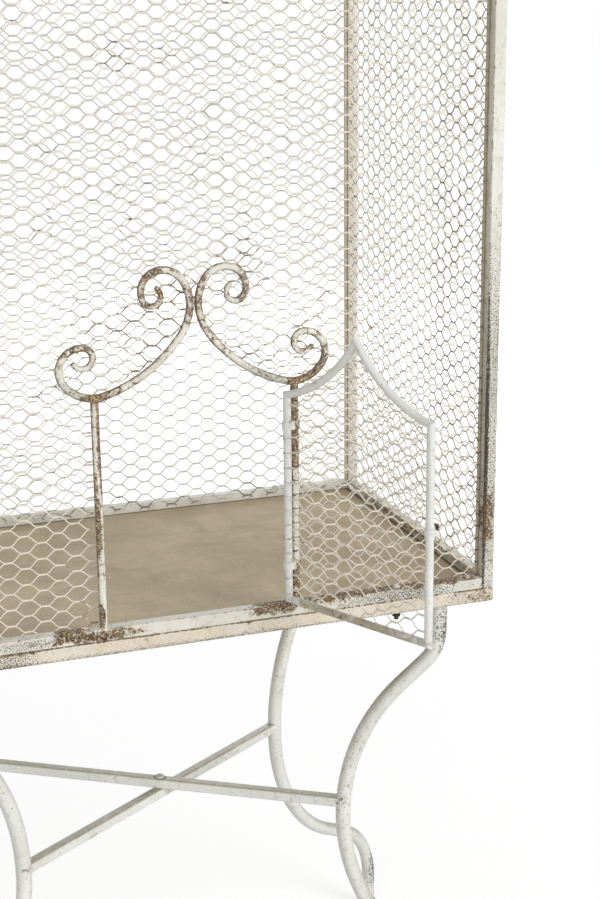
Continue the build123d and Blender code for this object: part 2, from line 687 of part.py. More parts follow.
print("stand top", round(stand_top, 3), "crossing", round(crossing_z, 2), "waist", round(leg_waist_radius, 2))
print("foot radius", round(leg_foot_radius, 2), "bearing", round(leg_bearing, 3))
print("hinge", round(hinge_x, 3), round(hinge_y + part_shift_y, 3), "door z", round(door_z, 2))
print("free bar", [round(c, 3) for c in tuple(free_upright.position + Vector(0, part_shift_y, 0))])
print("shift", round(part_shift_y, 3), "top", round(ridge_z + rod_radius, 2))
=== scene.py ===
"""Looks of a netted bird cage on its stand: worn paint, hexagonal netting, wire ties and welds."""

import logging
import math
from dataclasses import dataclass, field
from enum import Enum

import bpy
from bpy.types import ID, Material, Mesh, Node, NodeTree, Object
from bpy.types import NodeSocket as Socket
from mathutils import Matrix, Vector


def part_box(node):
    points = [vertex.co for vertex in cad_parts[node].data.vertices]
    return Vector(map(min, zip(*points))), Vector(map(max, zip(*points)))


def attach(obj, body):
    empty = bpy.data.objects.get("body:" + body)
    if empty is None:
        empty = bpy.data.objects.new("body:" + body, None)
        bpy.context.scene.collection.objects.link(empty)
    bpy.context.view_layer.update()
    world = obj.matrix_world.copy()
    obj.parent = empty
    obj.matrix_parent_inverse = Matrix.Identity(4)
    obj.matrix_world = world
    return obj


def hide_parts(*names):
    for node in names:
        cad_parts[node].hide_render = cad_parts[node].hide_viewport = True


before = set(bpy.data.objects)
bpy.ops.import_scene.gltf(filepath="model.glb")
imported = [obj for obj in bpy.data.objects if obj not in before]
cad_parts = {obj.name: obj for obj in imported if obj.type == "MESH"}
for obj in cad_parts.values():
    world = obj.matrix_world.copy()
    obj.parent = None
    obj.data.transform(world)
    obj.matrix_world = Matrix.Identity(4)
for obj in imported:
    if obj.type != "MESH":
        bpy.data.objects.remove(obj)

LOG = logging.getLogger("bird_cage")
PHOTO_HEIGHT = 899
X_AXIS = Vector((1.0, 0.0, 0.0))
Y_AXIS = Vector((0.0, 1.0, 0.0))
Z_AXIS = Vector((0.0, 0.0, 1.0))
WHITE = (1.0, 1.0, 1.0, 1.0)

Colour = tuple[float, float, float, float]
Point2 = tuple[float, float]
Point3 = tuple[float, float, float]
Marks = tuple[tuple[float, float, float, float, float], ...]

# How far a mark reaches in and out of the front, and the share of its reach that is worn in full.
MARK_REACH = 0.04
FULL_SHARE = 0.25
# Marks on the front: across from the middle, up from the stand, half width, half height and depth.
FRAME_RUST: Marks = (
    (0.392, 0.09, 0.016, 0.07, 0.35), (0.388, 0.11, 0.012, 0.08, 0.3),
    (0.300, 0.017, 0.13, 0.008, 0.7), (0.100, 0.012, 0.065, 0.012, 0.75),
    (-0.135, 0.008, 0.085, 0.011, 0.9), (-0.170, 0.014, 0.025, 0.009, 1.1),
    (0.180, 0.016, 0.06, 0.012, 0.6),
)
FRAME_SPECKS: Marks = (
    (0.396, 0.22, 0.03, 0.48, 0.6), (0.27, 0.006, 0.15, 0.02, 0.7),
    (-0.22, 0.008, 0.09, 0.014, 0.6),
)
SCROLL_RUST: Marks = (
    (-0.050, 0.43, 0.035, 0.05, 0.42), (0.0, 0.398, 0.022, 0.05, 0.32),
    (0.008, 0.432, 0.02, 0.04, 0.2), (0.060, 0.422, 0.018, 0.04, 0.3),
    (0.030, 0.360, 0.03, 0.03, 0.25), (-0.09, 0.308, 0.06, 0.02, 0.2),
    (-0.140, 0.362, 0.04, 0.02, 0.4), (-0.125, 0.300, 0.04, 0.014, 0.5),
    (0.142, 0.306, 0.034, 0.022, 1.0), (0.160, 0.328, 0.02, 0.03, 0.4),
    (0.140, 0.352, 0.03, 0.02, 0.25), (0.125, 0.255, 0.02, 0.09, 0.9),
    (0.125, 0.036, 0.02, 0.06, 0.4), (-0.1205, 0.25, 0.006, 0.09, 1.0),
    (-0.1275, 0.15, 0.006, 0.07, 0.7), (-0.129, 0.028, 0.0075, 0.022, 1.7),
)
SCROLL_SPECKS: Marks = ((0.082, 0.315, 0.06, 0.03, 0.42), (-0.158, 0.312, 0.04, 0.03, 0.4))
STRAP_RUST: Marks = ((0.130, 0.2, 0.0125, 0.5, 1.2),)
STAND_RUST: Marks = (
    (0.0, 0.0, 0.5, 0.003, 0.4), (-0.24, 0.0, 0.08, 0.006, 0.7), (0.375, -0.008, 0.07, 0.03, 0.3),
)
STAND_SPECKS: Marks = (
    (0.0, -0.019, 0.5, 0.008, 0.45), (-0.255, -0.01, 0.07, 0.03, 0.4),
    (0.375, -0.008, 0.07, 0.03, 0.2),
)
NET_RUST: Marks = ((0.0, 0.36, 0.26, 0.18, 0.36), (-0.14, 0.03, 0.03, 0.06, 0.35))
TIE_RUST: Marks = ((0.125, 0.15, 0.04, 0.4, 1.5), (0.384, 0.05, 0.03, 0.36, 1.2))

# The finish of each CAD node by the start of its name; the frame's paint goes on all others.
COATS_BY_NAME = {
    "stand_rail": "stand_paint", "leg_glides": "glide_plastic", "leg_": "leg_paint",
    "stretcher_": "leg_paint", "scroll_": "scroll_paint", "door_post": "scroll_paint",
    "hinge_strap": "strap_paint", "door_": "door_paint", "clamp_bolts": "bolt_paint",
    "clamp_nuts": "dark_steel", "latch_hook": "latch_paint", "latch_collars": "door_paint",
    "floor_board": "floor_ply",
}


def srgb(code: str) -> Colour:
    """Turn a hash sign and six hex digits into linear light with an alpha of one."""
    parts = (int(code[i:i + 2], 16) / 255.0 for i in (1, 3, 5))
    return (*(c / 12.92 if c <= 0.04045 else ((c + 0.055) / 1.055) ** 2.4 for c in parts), 1.0)


def placed(name: str, data: ID) -> Object:
    """Put a mesh, a lamp or a camera into the scene as an object.

    Args:
        name: Name of the object.
        data: The mesh, lamp or camera.

    Returns:
        The object.
    """
    made = bpy.data.objects.new(name, data)
    bpy.context.scene.collection.objects.link(made)
    return made


class Wear(Enum):
    """How the paint has gone in one place."""

    RUST = "flaked down to brown rust"
    SPECKLE = "pitted with fine dark specks"
    # Tan patches: dirt in most places, painted shade on the right rail and on the inner face of the right
    # front post.
    GRIME_AND_SHADE = "stained tan by dirt"


@dataclass(frozen=True)
class WearSpot:
    """A place where the paint is worn, as a soft-edged ellipsoid in metres."""

    kind: Wear
    centre: Point3
    reach: Point3
    depth: float


Spots = tuple[WearSpot, ...]


class Graph:
    """A node tree with short calls that add nodes and link them."""

    def __init__(self, tree: NodeTree) -> None:
        """Keep the tree that the nodes go into."""
        self.tree = tree

    def feed(self, socket: Socket, value: object) -> None:
        """Link a socket to an input, or set the input to a constant.

        Args:
            socket: The input.
            value: The socket or the constant.
        """
        if isinstance(value, Socket):
            self.tree.links.new(value, socket)
        else:
            socket.default_value = value

    def node(self, kind: str, inputs: dict | None = None, **settings: object) -> Node:
        """Add a node.

        Args:
            kind: Blender's node type.
            inputs: Input names or numbers, each with a constant or a socket.
            **settings: Properties of the node itself.

        Returns:
            The new node.
        """
        made = self.tree.nodes.new(kind)
        for name, value in settings.items():
            setattr(made, name, value)
        for key, value in (inputs or {}).items():
            self.feed(made.inputs[key], value)
        return made

    def out(self, kind: str, inputs: dict | None = None, **settings: object) -> Socket:
        """Add a node and return its first output."""
        return self.node(kind, inputs, **settings).outputs[0]

    def math(self, operation: str, *values: object, clamp: bool = False) -> Socket:
        """Add a Math node and return its result."""
        return self.out("ShaderNodeMath", dict(enumerate(values)), operation=operation, use_clamp=clamp)

    def vector(self, operation: str, *values: object) -> Socket:
        """Add a Vector Math node and return its vector, or the length where that is asked for."""
        made = self.node("ShaderNodeVectorMath", dict(enumerate(values)), operation=operation)
        return made.outputs["Value" if operation == "LENGTH" else "Vector"]

    def xyz(self, x: object, y: object, z: object) -> Socket:
        """Join three numbers to a vector."""
        return self.out("ShaderNodeCombineXYZ", {0: x, 1: y, 2: z})

    def apart(self, vector: Socket) -> tuple:
        """Split a vector into its three numbers."""
        return tuple(self.node("ShaderNodeSeparateXYZ", {0: vector}).outputs[:3])

    def smooth(self, value: object, low: float, high: float, to: float = 1.0) -> Socket:
        """Rise smoothly from zero at low to a top value at high."""
        inputs = {"Value": value, "From Min": low, "From Max": high, "To Min": 0.0, "To Max": to}
        return self.out("ShaderNodeMapRange", inputs, interpolation_type="SMOOTHSTEP")

    def seen_white(self) -> Socket:
        """Find the rays that should meet a white background: camera, glossy and see-through ones.

        Returns:
            One for those rays, zero for others.
        """
        rays = self.node("ShaderNodeLightPath").outputs
        plain = self.math("MAXIMUM", rays["Is Camera Ray"], rays["Is Glossy Ray"])
        return self.math("MAXIMUM", plain, rays["Is Transmission Ray"])


class Surface(Graph):
    """The graph of a material, with Object coordinates for the place of each point."""

    def __init__(self, tree: NodeTree) -> None:
        """Keep the tree and find the place of each point."""
        super().__init__(tree)
        self.place = self.node("ShaderNodeTexCoord").outputs["Object"]

    def facing(self) -> tuple:
        """Give the three parts of the direction that the surface faces."""
        return self.apart(self.node("ShaderNodeNewGeometry").outputs["Normal"])

    def noise(self, scale: float, detail: float, rough: float = 0.55, bend: float = 0.0,
              stretch: Point3 | None = None) -> Socket:
        """Add a Noise Texture and return its value around one half."""
        spot = self.vector("MULTIPLY", self.place, stretch) if stretch else self.place
        return self.out("ShaderNodeTexNoise", {"Vector": spot, "Scale": scale, "Detail": detail,
                                               "Roughness": rough, "Distortion": bend})

    def mix(self, share: Socket, *tones: object) -> Socket:
        """Mix two tones, each a colour or its code, by a share of the second one."""
        first, second = (srgb(tone) if isinstance(tone, str) else tone for tone in tones)
        return self.node("ShaderNodeMix", {0: share, 6: first, 7: second}, data_type="RGBA",
                         clamp_factor=True).outputs[2]

    def bump(self, strength: float, distance: float, height: Socket) -> Socket:
        """Turn a height into a small relief of the surface."""
        return self.out("ShaderNodeBump", {"Strength": strength, "Distance": distance, "Height": height})

    def worn(self, spots: Spots, kind: Wear, start: float) -> object:
        """Add up the wear of one kind.

        Args:
            spots: The worn places.
            kind: Which of them to add up.
            start: Wear that is there all over.

        Returns:
            The wear at each point, from about zero to one.
        """
        total = start
        for spot in (s for s in spots if s.kind is kind):
            shrunk = self.vector("DIVIDE", self.vector("SUBTRACT", self.place, spot.centre), spot.reach)
            near = self.smooth(self.vector("LENGTH", shrunk), 1.0, FULL_SHARE, spot.depth)
            total = self.math("ADD", total, near)
        return total


@dataclass(frozen=True)
class Finish:
    """A finish that becomes a node material."""

    name: str

    def looks(self, g: Surface) -> dict[str, object]:
        """Give what goes into the shader, by the names of its inputs."""
        raise NotImplementedError

    def material(self) -> Material:
        """Build the finish as a material with its name.

        Returns:
            The material.
        """
        made = bpy.data.materials.new(self.name)
        made.use_nodes = True
        g = Surface(made.node_tree)
        shader = made.node_tree.nodes["Principled BSDF"]
        for key, value in self.looks(g).items():
            g.feed(shader.inputs[key], value)
        return made


@dataclass(frozen=True)
class ChippedPaint(Finish):
    """Old brushed paint that has chipped and rusted in places."""

    paint: str
    shade: str
    rust: str = "#7b5f42"
    deep: str = "#3c3027"
    bloom: str = "#a98b66"
    # Tone of the tan patches: dirt, and painted shade where a spot stands for shade.
    grime_and_shade: str = "#a3967d"
    # Tone of the dust on faces that point up, which also paints the shade of those faces.
    dirt_and_shade: str = "#8b826d"
    rim: str = "#b5a689"
    pit: str = "#41372d"
    stains: float = 0.1
    chips: float = 0.05
    specks: float = 0.05
    edges: float = 0.0
    # Rust on the flanks of round rods, which also paints their side shade.
    flank_rust_and_shade: float = 0.0
    # Share of dust and painted top shade on faces that point up.
    dust_and_top_shade: float = 0.0
    pit_scale: float = 560.0
    grain: float = 1.0
    halo: float = 0.5
    rough: float = 0.5
    spots: Spots = ()

    def coat(self, g: Surface) -> Socket:
        """Give the paint its stains and tan patches, and its dust and painted top shade on what faces up.

        Args:
            g: The material's graph.

        Returns:
            The colour of the paint.
        """
        cloudy = g.smooth(g.noise(14.0, 5.0, 0.6), 0.35, 0.68)
        tone = g.mix(cloudy, self.paint, self.shade)
        stain = g.noise(70.0, 6.0, 0.65, 0.6)
        # Tan patches from the grime spots: dirt, and painted shade where a spot stands for shade.
        grime_and_shade_wear = g.worn(self.spots, Wear.GRIME_AND_SHADE, self.stains)
        grime_and_shade_share = g.smooth(g.math("MULTIPLY_ADD", grime_and_shade_wear, 0.4, stain), 0.56, 0.84, 0.85)
        tone = g.mix(grime_and_shade_share, tone, self.grime_and_shade)
        # Darker on faces that point up: settled dust, and painted shade of the tops.
        if self.dust_and_top_shade > 0.0:
            upward_dust_and_shade = g.smooth(g.facing()[2], 0.0, 0.9, self.dust_and_top_shade)
            tone = g.mix(g.math("MULTIPLY", upward_dust_and_shade, g.smooth(stain, -0.1, 0.6)), tone, self.dirt_and_shade)
        return tone

    def loss(self, g: Surface) -> Socket:
        """Wear the paint, with more loss on the edges of square tube and on the flanks of round rods, where
        the rust also paints the rods' side shade.

        Args:
            g: The material's graph.

        Returns:
            The loss, bare where it is high.
        """
        worn = g.worn(self.spots, Wear.RUST, self.chips)
        x, y, z = (g.math("ABSOLUTE", part) for part in g.facing())
        if self.edges > 0.0:
            largest = g.math("MAXIMUM", g.math("MAXIMUM", x, y), z)
            worn = g.math("ADD", worn, g.smooth(largest, 0.985, 0.85, self.edges))
        # Rust on the sides of round rods as seen from the front, which also stands in for their shade.
        if self.flank_rust_and_shade > 0.0:
            worn = g.math("ADD", worn, g.smooth(y, 0.85, 0.3, self.flank_rust_and_shade))
        patch = g.noise(95.0 * self.grain, 4.0, 0.6, 0.4)
        crumb = g.noise(330.0 * self.grain, 6.0, 0.7, 0.3)
        flake = g.math("MULTIPLY_ADD", crumb, 0.5, g.math("MULTIPLY", patch, 0.5))
        return g.math("MULTIPLY_ADD", worn, 0.30, flake)

    def iron(self, g: Surface) -> Socket:
        """Give the rust its dark and pale blotches."""
        blotchy = g.mix(g.smooth(g.noise(130.0, 6.0, 0.65), 0.36, 0.64), self.deep, self.rust)
        return g.mix(g.smooth(g.noise(520.0, 3.0), 0.54, 0.66, 0.7), blotchy, self.bloom)

    def looks(self, g: Surface) -> dict[str, object]:
        """Break the paint by stained rims, dark pits and flakes that are gone down to the rust.

        Args:
            g: The material's graph.

        Returns:
            The shader's inputs.
        """
        loss = self.loss(g)
        left_over = g.smooth(g.noise(310.0 * self.grain, 8.0, 0.8), 0.50, 0.56, 0.9)
        bare = g.math("SUBTRACT", g.smooth(loss, 0.655, 0.68), left_over, clamp=True)
        speckled = g.worn(self.spots, Wear.SPECKLE, self.specks)
        pits = g.noise(self.pit_scale, 4.0, 0.62, 0.2)
        pitted = g.smooth(g.math("MULTIPLY_ADD", speckled, 0.26, pits), 0.71, 0.75)
        tone = g.mix(g.smooth(loss, 0.60, 0.66, self.halo), self.coat(g), self.rim)
        tone = g.mix(pitted, tone, self.pit)
        gone = g.math("MAXIMUM", bare, pitted)
        brushed = g.math("MULTIPLY", g.noise(260.0, 4.0, 0.6), 0.5)
        return {
            "Base Color": g.mix(bare, tone, self.iron(g)),
            "Roughness": g.math("MULTIPLY_ADD", gone, 0.3, self.rough),
            "Specular IOR Level": 0.35,
            "Normal": g.bump(0.55, 0.0007, g.math("SUBTRACT", brushed, gone)),
        }


@dataclass(frozen=True)
class WireCoat(Finish):
    """Painted netting wire with bare brown stretches."""

    paint: str
    shade: str
    bare: str
    bare_share: float
    spots: Spots = ()

    def looks(self, g: Surface) -> dict[str, object]:
        """Mix two tones of paint and bare them in stretches.

        Args:
            g: The material's graph.

        Returns:
            The shader's inputs.
        """
        patch = g.noise(16.0, 3.0, 0.6)
        fine = g.noise(130.0, 3.0, 0.6)
        mixed = g.math("ADD", g.math("MULTIPLY", patch, 0.6), g.math("MULTIPLY", fine, 0.4))
        worn = g.worn(self.spots, Wear.RUST, self.bare_share)
        bare = g.smooth(g.math("MULTIPLY_ADD", worn, 0.32, mixed), 0.63, 0.69)
        tint = g.mix(g.smooth(fine, 0.3, 0.7, 0.5), self.paint, self.shade)
        return {
            "Base Color": g.mix(bare, tint, self.bare),
            "Roughness": g.math("MULTIPLY_ADD", bare, 0.25, 0.55),
        }


@dataclass(frozen=True)
class FloorPly(Finish):
    """Stained plywood with a faint grain along its length."""

    light: str
    dark: str
    low: Point2
    high: Point2
    stain: str = "#7a6a52"
    seam: str = "#3a2f24"

    def rim(self, g: Surface) -> Socket:
        """Find the narrow dark line where the board meets the rails round it.

        Args:
            g: The material's graph.

        Returns:
            The share of the line.
        """
        x, y, _ = g.apart(g.place)
        nearest = g.math("SUBTRACT", x, self.low[0])
        for ends in ((self.high[0], x), (y, self.low[1]), (self.high[1], y)):
            nearest = g.math("MINIMUM", nearest, g.math("SUBTRACT", *ends))
        return g.smooth(nearest, 0.0075, 0.0025, 0.8)

    def looks(self, g: Surface) -> dict[str, object]:
        """Mix the two tones of the wood by blotches, grain and sanding marks.

        Args:
            g: The material's graph.

        Returns:
            The shader's inputs.
        """
        grain = g.noise(3.0, 6.0, 0.65, 0.8, stretch=(8.0, 40.0, 40.0))
        blotch = g.noise(12.0, 6.0, 0.65, 0.5)
        sand = g.noise(420.0, 3.0, 0.7)
        tone = g.math("MULTIPLY_ADD", blotch, 0.55, g.math("MULTIPLY", grain, 0.15))
        tone = g.math("MULTIPLY_ADD", sand, 0.3, tone)
        wood = g.mix(g.smooth(tone, 0.36, 0.64), self.dark, self.light)
        spotted = g.smooth(g.noise(140.0, 4.0, 0.7), 0.64, 0.74, 0.6)
        wood = g.mix(spotted, wood, self.stain)
        return {
            "Base Color": g.mix(self.rim(g), wood, self.seam),
            "Roughness": 0.75,
            "Normal": g.bump(0.25, 0.0005, grain),
        }


@dataclass(frozen=True)
class PlainStock(Finish):
    """Bare metal or plastic with a mottled tone."""

    tone: str
    patch: str
    metal: float
    rough: float

    def looks(self, g: Surface) -> dict[str, object]:
        """Mottle the surface in tone, roughness and relief."""
        patchy = g.smooth(g.noise(210.0, 5.0, 0.65), 0.42, 0.66)
        return {
            "Base Color": g.mix(patchy, self.tone, self.patch),
            "Metallic": self.metal,
            "Roughness": g.math("MULTIPLY_ADD", patchy, 0.2, self.rough),
            "Normal": g.bump(0.3, 0.0003, patchy),
        }


@dataclass(frozen=True)
class PaleFloor(Finish):
    """Matt floor with a white glow, which is weaker near the object so that the shadow stays."""

    grey: float = 0.6
    near: float = 1.5
    far: float = 6.0
    near_glow: float = 0.54
    far_glow: float = 0.76

    def looks(self, g: Surface) -> dict[str, object]:
        """Let the glow rise with the distance from the middle.

        Args:
            g: The material's graph.

        Returns:
            The shader's inputs.
        """
        lift = g.smooth(g.vector("LENGTH", g.place), self.near, self.far, self.far_glow - self.near_glow)
        glow = g.math("ADD", lift, self.near_glow)
        return {
            "Base Color": (self.grey, self.grey, self.grey, 1.0),
            "Roughness": 0.9,
            "Specular IOR Level": 0.1,
            "Emission Strength": g.math("MULTIPLY", g.seen_white(), glow),
            "Emission Color": WHITE,
        }


class Shaper:
    """A Geometry Nodes tree with named inputs that turns one outline or path into a mesh."""

    name = "shape"
    wants: dict[str, tuple[str, ...]] = {}

    def __init__(self) -> None:
        """Build the tree: its inputs, the shape, Realize Instances, smooth shading and Set Material."""
        self.tree = bpy.data.node_groups.new(self.name, "GeometryNodeTree")
        self.keys: dict[str, str] = {}
        sockets = self.tree.interface
        sockets.new_socket("Geometry", in_out="OUTPUT", socket_type="NodeSocketGeometry")
        for kind, names in {"Geometry": ("Geometry",), **self.wants, "Material": ("Coat",)}.items():
            for name in names:
                made = sockets.new_socket(name, in_out="INPUT", socket_type="NodeSocket" + kind)
                self.keys[name] = made.identifier
        self.graph = g = Graph(self.tree)
        self.given = g.node("NodeGroupInput").outputs
        real = g.out("GeometryNodeRealizeInstances", {"Geometry": self.shape()})
        soft = g.out("GeometryNodeSetShadeSmooth", {"Geometry": real})
        done = g.out("GeometryNodeSetMaterial", {"Geometry": soft, "Material": self.given["Coat"]})
        g.node("NodeGroupOutput", {0: done})

    def shape(self) -> Socket:
        """Give the geometry that the inputs make."""
        raise NotImplementedError

    def take(self, *names: str) -> list[Socket]:
        """Give the sockets of named inputs inside the tree."""
        return [self.given[name] for name in names]

    def walk(self) -> tuple:
        """Turn the path into a curve, and give the outputs of points at even steps along it."""
        curve = self.graph.out("GeometryNodeMeshToCurve", {"Mesh": self.given["Geometry"]})
        return curve, self.graph.node("GeometryNodeCurveToPoints", {
            "Curve": curve, "Length": self.given["Spacing"]}, mode="LENGTH").outputs

    def chance(self, low: float, high: float) -> Socket:
        """Draw a number between two limits for each point."""
        inputs = {2: low, 3: high, "Seed": self.given["Seed"]}
        return self.graph.node("FunctionNodeRandomValue", inputs, data_type="FLOAT").outputs[1]

    def tube(self, curve: Socket, radius: Socket, sides: int) -> Socket:
        """Sweep a round wire with closed ends along a curve."""
        ring = self.graph.out("GeometryNodeCurvePrimitiveCircle", {"Resolution": sides, "Radius": radius})
        return self.graph.out("GeometryNodeCurveToMesh", {
            "Curve": curve, "Profile Curve": ring, "Fill Caps": True})

    def joined(self, *parts: Socket) -> Socket:
        """Join parts of the shape.

        Args:
            *parts: Their geometry.

        Returns:
            The geometry of all of them.
        """
        both = self.graph.node("GeometryNodeJoinGeometry")
        for part in parts:
            self.graph.feed(both.inputs[0], part)
        return both.outputs[0]

    def mesh(self, name: str, base: Mesh, values: dict[str, object]) -> Mesh:
        """Run the tree on a mesh.

        Args:
            name: Name of the finished mesh.
            base: The outline or path that goes in.
            values: A value for each named input.

        Returns:
            A plain mesh with the material set.
        """
        holder = placed(name + "_source", base)
        modifier = holder.modifiers.new("shape", "NODES")
        modifier.node_group = self.tree
        for key, value in values.items():
            modifier[self.keys[key]] = value
        bpy.context.view_layer.update()
        depsgraph = bpy.context.evaluated_depsgraph_get()
        made = bpy.data.meshes.new_from_object(holder.evaluated_get(depsgraph), depsgraph=depsgraph)
        bpy.data.objects.remove(holder)
        bpy.data.meshes.remove(base)
        made.name = name
        return made


class NettingShaper(Shaper):
    """Weaves hexagonal netting over a flat outline in its XY plane."""

    name = "hexagonal_netting"
    wants = {"Float": ("Row Pitch", "Column Pitch", "Twist Length", "Wire Radius", "Wobble", "Seed"),
             "Int": ("Columns", "Rows")}
    helix_points = 6
    slant_points = 3
    half_turns = 3
    rounding = 0.8
    wire_sides = 4
    join_gap = 0.00002
    drift_scale = 26.0
    drift_reach = (2.0, 2.0, 0.7)

    def shape(self) -> Socket:
        """Set a pair of twisting wires on a staggered grid, bend it a little and cut it to the outline.

        Returns:
            The netting.
        """
        g = self.graph
        pair = self.joined(self.wire(1.0), self.wire(-1.0))
        woven = g.out("GeometryNodeInstanceOnPoints", {"Points": self.grid(), "Instance": pair})
        woven = g.out("GeometryNodeRealizeInstances", {"Geometry": woven})
        whole = g.out("GeometryNodeMergeByDistance", {"Geometry": woven, "Distance": self.join_gap})
        place = g.out("GeometryNodeInputPosition")
        waves = {"Vector": place, "W": self.given["Seed"], "Scale": self.drift_scale, "Detail": 2.0}
        drift = g.node("ShaderNodeTexNoise", waves, noise_dimensions="4D").outputs[1]
        centred = g.vector("SUBTRACT", drift, (0.5, 0.5, 0.5))
        pull = g.vector("MULTIPLY", centred, self.drift_reach)
        pull = g.vector("MULTIPLY", pull, g.xyz(*[self.given["Wobble"]] * 3))
        bent = g.out("GeometryNodeSetPosition", {"Geometry": whole, "Offset": pull})
        ray = {"Target Geometry": self.given["Geometry"], "Source Position": g.vector("ADD", place, Z_AXIS),
               "Ray Direction": -Z_AXIS, "Ray Length": 2.0}
        inside = g.node("GeometryNodeRaycast", ray).outputs["Is Hit"]
        outside = g.out("FunctionNodeBooleanMath", {0: inside}, operation="NOT")
        cut = g.out("GeometryNodeDeleteGeometry", {"Geometry": bent, "Selection": outside})
        line = g.out("GeometryNodeMeshToCurve", {"Mesh": cut})
        return self.tube(line, self.given["Wire Radius"], self.wire_sides)

    def wire(self, side: float) -> Socket:
        """Make one of the two wires of a cell: its strand of the twist and the slanting run after it.

        Args:
            side: One for the wire that starts on top, minus one for the other.

        Returns:
            The wire as a line of points.
        """
        g = self.graph
        row, column, twist, radius = self.take("Row Pitch", "Column Pitch", "Twist Length", "Wire Radius")
        last = self.helix_points - 1.0
        line = g.out("GeometryNodeMeshLine", {"Count": self.helix_points + self.slant_points})
        index = g.out("GeometryNodeInputIndex")
        turns = g.math("MINIMUM", g.math("DIVIDE", index, last), 1.0)
        past = g.math("MAXIMUM", g.math("SUBTRACT", index, last), 0.0)
        slant = g.math("DIVIDE", past, float(self.slant_points))
        run = g.math("MULTIPLY", slant, g.math("SUBTRACT", column, twist))
        x = g.math("ADD", g.math("MULTIPLY", twist, g.math("SUBTRACT", turns, 0.5)), run)
        angle = g.math("MULTIPLY", turns, self.half_turns * math.pi)
        lift = g.math("MULTIPLY", g.math("COSINE", angle), radius)
        fall = g.math("SUBTRACT", g.math("MULTIPLY", row, 0.5), g.math("MULTIPLY", radius, 2.0))
        curved = g.smooth(slant, 0.0, 1.0, self.rounding)
        eased = g.math("MULTIPLY_ADD", slant, 1.0 - self.rounding, curved)
        y = g.math("SUBTRACT", lift, g.math("MULTIPLY", eased, fall))
        z = g.math("MULTIPLY", g.math("SINE", angle), radius)
        spot = g.xyz(x, g.math("MULTIPLY", y, side), g.math("MULTIPLY", z, side))
        return g.out("GeometryNodeSetPosition", {"Geometry": line, "Position": spot})

    def grid(self) -> Socket:
        """Make the staggered grid of twist centres, with every second column half a row up.

        Returns:
            A mesh with one point for each twist.
        """
        g = self.graph
        row, column, columns, rows = self.take("Row Pitch", "Column Pitch", "Columns", "Rows")
        wide = g.math("MULTIPLY", column, g.math("SUBTRACT", columns, 1.0))
        tall = g.math("MULTIPLY", row, g.math("SUBTRACT", rows, 1.0))
        sizes = {"Size X": wide, "Size Y": tall, "Vertices X": columns, "Vertices Y": rows}
        flat = g.out("GeometryNodeMeshGrid", sizes)
        x, _, _ = g.apart(g.out("GeometryNodeInputPosition"))
        across = g.math("ADD", x, g.math("MULTIPLY", wide, 0.5))
        odd = g.math("MODULO", g.math("ROUND", g.math("DIVIDE", across, column)), 2.0)
        shift = g.xyz(0.0, g.math("MULTIPLY", odd, g.math("MULTIPLY", row, 0.5)), 0.0)
        return g.out("GeometryNodeSetPosition", {"Geometry": flat, "Offset": shift})


class WrapShaper(Shaper):
    """Winds short coils of tie wire round a bar that follows a path."""

    name = "wire_wraps"
    wants = {"Float": ("Spacing", "Bar Radius", "Wire Radius", "Turns"), "Int": ("Seed",),
             "Bool": ("With Rod",)}
    coil_points = 10
    wire_sides = 5
    bar_sides = 10
    whole_turn = 6.283
    lean = 0.1

    def shape(self) -> Socket:
        """Set coils at even steps along the path, each turned and tilted by chance.

        Returns:
            The coils, with the bar where it is asked for.
        """
        g = self.graph
        bar, radius, turns, rod = self.take("Bar Radius", "Wire Radius", "Turns", "With Rod")
        path, steps = self.walk()
        reach = g.math("MULTIPLY_ADD", radius, 0.8, bar)
        coil = g.out("GeometryNodeCurveSpiral", {
            "Resolution": self.coil_points, "Rotations": turns, "Start Radius": reach,
            "End Radius": reach, "Height": g.math("MULTIPLY", radius, 3.4)})
        spin = self.chance(0.0, self.whole_turn)
        tilt = self.chance(-self.lean, self.lean)
        aim = g.out("FunctionNodeAlignRotationToVector", {"Vector": steps["Tangent"]}, axis="Z")
        twist = g.out("FunctionNodeEulerToRotation", {0: g.xyz(tilt, 0.0, spin)})
        turned = g.out("FunctionNodeRotateRotation", {0: aim, 1: twist}, rotation_space="LOCAL")
        coils = {"Points": steps["Points"], "Instance": coil, "Rotation": turned}
        tied = g.out("GeometryNodeInstanceOnPoints", coils)
        real = g.out("GeometryNodeRealizeInstances", {"Geometry": tied})
        core = self.tube(path, bar, self.bar_sides)
        shown = g.out("GeometryNodeSwitch", {"Switch": rod, "True": core}, input_type="GEOMETRY")
        return self.joined(self.tube(real, radius, self.wire_sides), shown)


class WeldShaper(Shaper):
    """Lays a lumpy weld bead along a path."""

    name = "weld_beads"
    wants = {"Float": ("Spacing", "Drop Radius"), "Int": ("Seed",)}
    smallest = 0.8
    largest = 1.2

    def shape(self) -> Socket:
        """Set overlapping drops at even steps along the path, each of its own size.

        Returns:
            The drops.
        """
        g = self.graph
        _, steps = self.walk()
        drop = g.out("GeometryNodeMeshIcoSphere", {"Radius": self.given["Drop Radius"], "Subdivisions": 2})
        scale = self.chance(self.smallest, self.largest)
        drops = {"Points": steps["Points"], "Instance": drop, "Scale": scale}
        return g.out("GeometryNodeInstanceOnPoints", drops)


def outline_mesh(name: str, points: list[Point2]) -> Mesh:
    """Make one flat face in the XY plane.

    Args:
        name: Name of the mesh.
        points: Corners in order.

    Returns:
        The mesh.
    """
    made = bpy.data.meshes.new(name)
    made.from_pydata([(u, v, 0.0) for u, v in points], [], [tuple(range(len(points)))])
    return made


